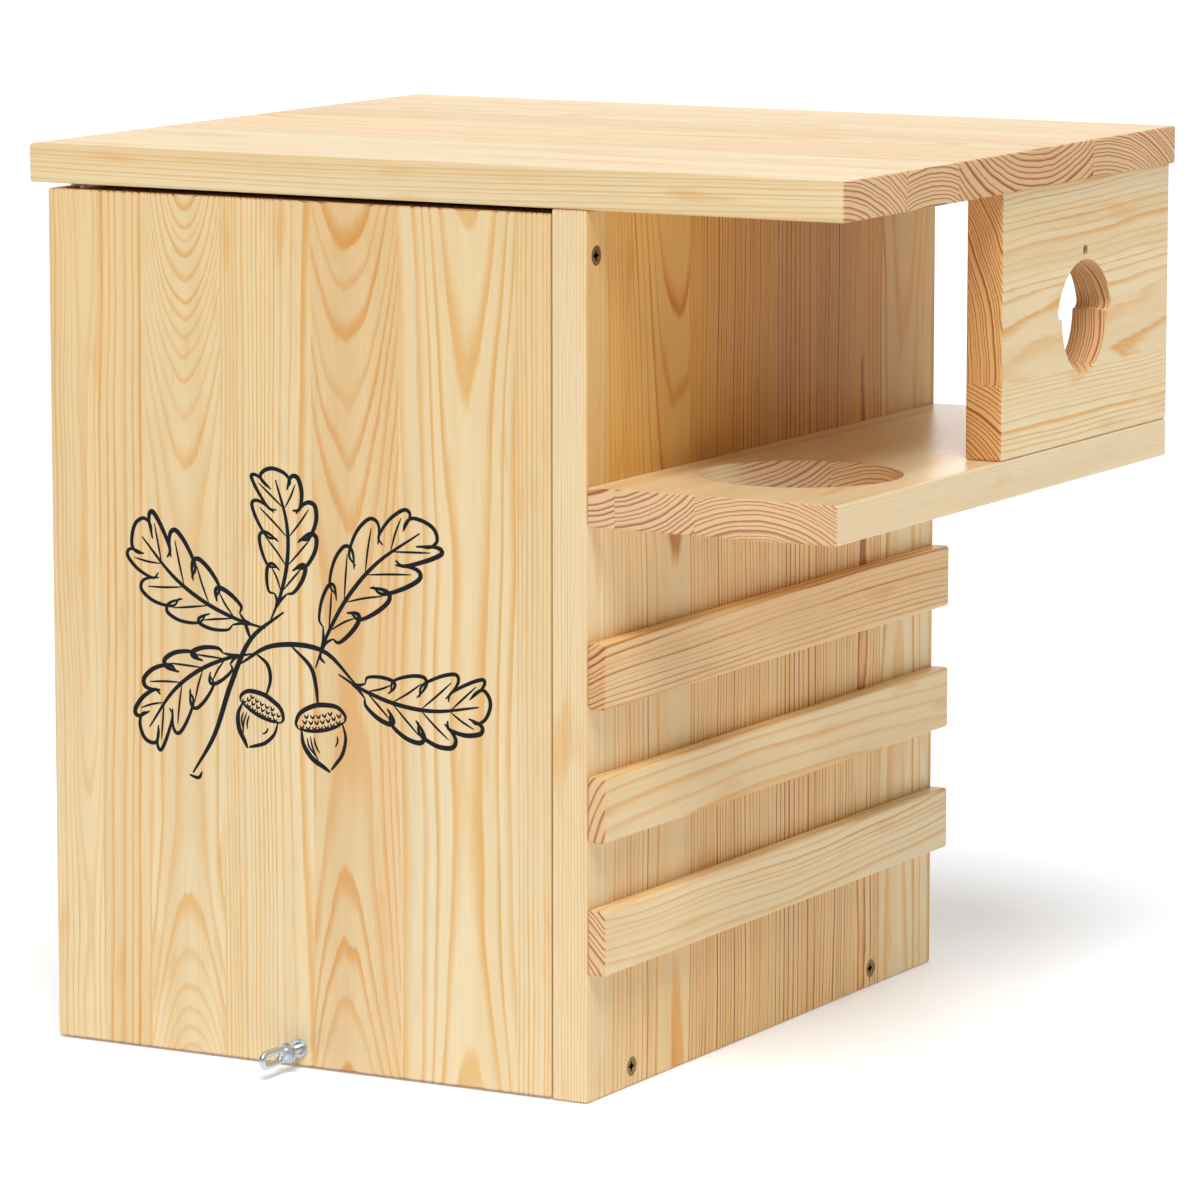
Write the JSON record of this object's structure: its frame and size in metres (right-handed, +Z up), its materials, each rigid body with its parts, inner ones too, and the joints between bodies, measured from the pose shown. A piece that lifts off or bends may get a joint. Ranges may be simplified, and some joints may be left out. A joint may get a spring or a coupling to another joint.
{
  "type": "squirrel house",
  "caption": "Wooden squirrel house with a top-hung front door, a roofed feeding balcony with a bowl hole and an acorn window, and climbing slats on the side.",
  "frame": {"origin": "centre of the box's base, on the surface that the house stands on", "axes": "+X to the balcony side, +Y from the door to the back wall, +Z up"},
  "size_m": [0.422, 0.3838, 0.421],
  "materials": {
    "pine": "bare planed pine, edge-glued staves, satin",
    "beech": "raw beech dowel",
    "zinc": "bright zinc plating",
    "bronze": "dull yellow zinc screw steel"
  },
  "bodies": {
    "house": {"roof": "pine", "left_wall": "pine", "right_wall": "pine", "back_wall": "pine", "floor": "pine", "shelf": "pine", "outer_panel": "pine", "slat_top": "pine", "slat_middle": "pine", "slat_bottom": "pine", "pivot_hook": "zinc", "floor_screws_left": "bronze", "floor_screws_right": "bronze", "back_screws": "bronze", "shelf_screws": "bronze", "panel_screws": "bronze", "slat_screws": "bronze", "roof_dowels": "beech", "back_dowels": "beech", "panel_dowels": "beech"},
    "door": {"door": "pine", "pivot_screw": "bronze", "latch_insert": "zinc"},
    "latch_washer": {"latch_washer": "zinc"},
    "latch_screw": {"latch_screw": "zinc"}
  },
  "joints": [
    {"name": "door_hinge", "type": "hinge", "parent": "house", "child": "door", "pos_m": [0, -0.166, 0.3823], "axis": [-1, 0, 0], "range_deg": [0, 95]},
    {"name": "latch_slide", "type": "slide", "parent": "door", "child": "latch_washer", "axis": [0, 1, 0], "range_m": [0, 0.0088]},
    {"name": "latch_turn", "type": "hinge", "parent": "latch_washer", "child": "latch_screw", "pos_m": [-0.00925, -0.175, 0.009], "axis": [0, 1, 0], "range_deg": [0, 3960]}
  ],
  "couplings": [
    {"joint": "latch_turn", "follows": "latch_slide", "rad_per_m": 7854}
  ]
}
